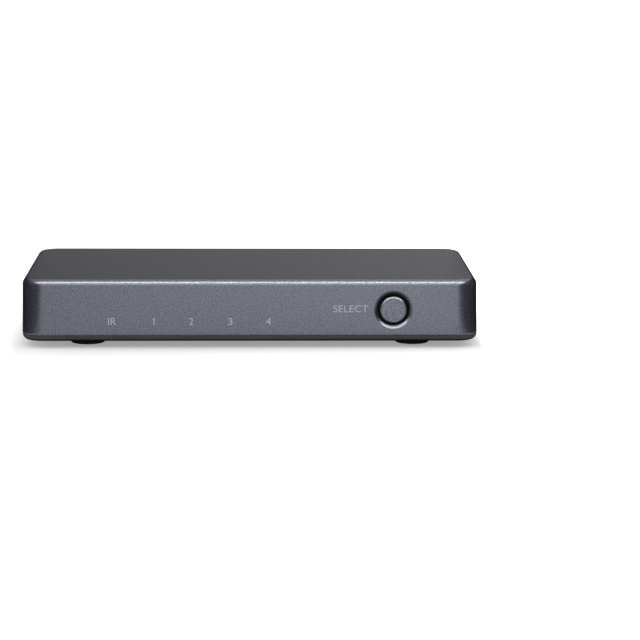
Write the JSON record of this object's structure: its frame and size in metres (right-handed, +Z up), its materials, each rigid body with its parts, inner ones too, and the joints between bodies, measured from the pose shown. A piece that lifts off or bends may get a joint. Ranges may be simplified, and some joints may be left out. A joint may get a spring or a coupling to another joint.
{
  "type": "hdmi switch box",
  "caption": "Low, wide box with a round select button in front and a row of video sockets and a power inlet behind, on rubber feet.",
  "frame": {"origin": "on the surface it stands on, under the middle of the housing", "axes": "+X to the right of someone facing the button, +Y from the front to the sockets, +Z up"},
  "size_m": [0.16, 0.0802, 0.0244],
  "materials": {
    "shell_paint": "metallic anthracite paint on moulded ABS, satin",
    "bezel_chrome": "dark chrome plating on a moulded ring",
    "base_plastic": "black moulded ABS, fine texture",
    "foot_rubber": "matt black rubber",
    "screw_steel": "zinc plated steel",
    "black_plastic": "black moulded plastic",
    "tin_plate": "tin plated sheet",
    "can_aluminium": "bare aluminium",
    "clear_plastic": "clear acrylic",
    "board_laminate": "green solder mask on glass laminate",
    "ferrite": "dark ferrite",
    "lamp_plastic": "white lamp moulding",
    "contact_gold": "gold flashed contacts"
  },
  "bodies": {
    "housing": {"upper_shell": "shell_paint", "button_bezel": "bezel_chrome", "base": "base_plastic", "rear_panel": "base_plastic", "base_screws": "screw_steel", "board_screws": "screw_steel", "switch_body": "black_plastic", "ir_receiver": "black_plastic", "switching_chip": "black_plastic", "control_chip": "black_plastic", "regulator": "black_plastic", "chip_resistors": "black_plastic", "jack_body": "black_plastic", "switch_frame": "tin_plate", "switch_dome": "tin_plate", "ir_shield": "tin_plate", "crystal": "tin_plate", "jack_pin": "tin_plate", "jack_leaf": "tin_plate", "capacitor_1": "can_aluminium", "capacitor_2": "can_aluminium", "heat_sink": "can_aluminium", "light_guide": "clear_plastic", "main_board": "board_laminate", "power_inductor": "ferrite", "foot_front_left": "foot_rubber", "foot_front_right": "foot_rubber", "foot_rear_left": "foot_rubber", "foot_rear_right": "foot_rubber", "lamp_1": "lamp_plastic", "lamp_2": "lamp_plastic", "lamp_3": "lamp_plastic", "lamp_4": "lamp_plastic", "input_1_shell": "tin_plate", "input_1_insulator": "black_plastic", "input_1_contacts": "contact_gold", "input_2_shell": "tin_plate", "input_2_insulator": "black_plastic", "input_2_contacts": "contact_gold", "input_3_shell": "tin_plate", "input_3_insulator": "black_plastic", "input_3_contacts": "contact_gold", "input_4_shell": "tin_plate", "input_4_insulator": "black_plastic", "input_4_contacts": "contact_gold", "output_shell": "tin_plate", "output_insulator": "black_plastic", "output_contacts": "contact_gold"},
    "button": {"select_button": "shell_paint"},
    "plunger": {"switch_plunger": "black_plastic"}
  },
  "joints": [
    {"name": "select_press", "type": "slide", "parent": "housing", "child": "button", "axis": [0, 1, 0], "range_m": [0, 0.0005], "stiffness_N_per_m": 3200, "deforming": ["switch_dome"]},
    {"name": "plunger_press", "type": "slide", "parent": "housing", "child": "plunger", "axis": [0, 1, 0], "range_m": [0, 0.0005]}
  ],
  "couplings": [
    {"joint": "plunger_press", "follows": "select_press", "ratio": 1}
  ]
}
